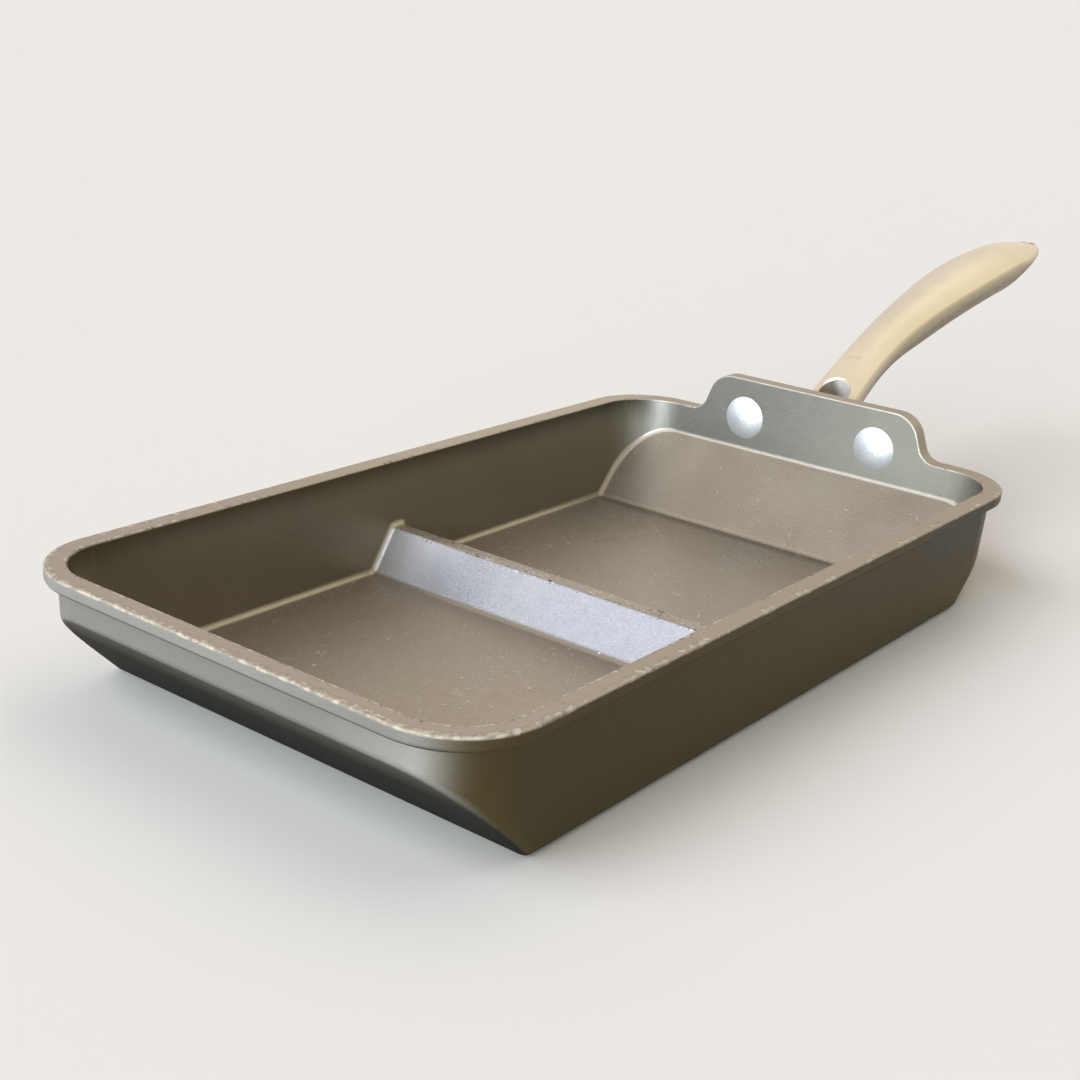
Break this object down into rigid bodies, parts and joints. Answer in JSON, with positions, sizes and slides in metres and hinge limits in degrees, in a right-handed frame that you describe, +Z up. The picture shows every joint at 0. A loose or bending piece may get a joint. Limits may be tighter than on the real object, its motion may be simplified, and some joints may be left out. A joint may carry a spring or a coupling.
{
  "type": "tamagoyaki pan",
  "caption": "Rectangular rolled-omelette pan with sloping ends, a low ridge dividing the inside, a banded rim and a curved cast handle riveted to a raised flange.",
  "frame": {"origin": "centre of the pan's flat base, on the surface that it stands on, midway between the two ends of the rim", "axes": "+X across the pan, +Y along its length towards the handle, +Z up"},
  "size_m": [0.15, 0.4301, 0.0869],
  "materials": {
    "coated_aluminium": "bronze-grey nonstick coating over cast aluminium",
    "satin_steel": "satin, warm",
    "rivet_metal": "polished"
  },
  "bodies": {
    "root": {"pan_body": "coated_aluminium", "handle": "satin_steel", "rivet_left": "rivet_metal", "rivet_right": "rivet_metal"}
  },
  "joints": []
}
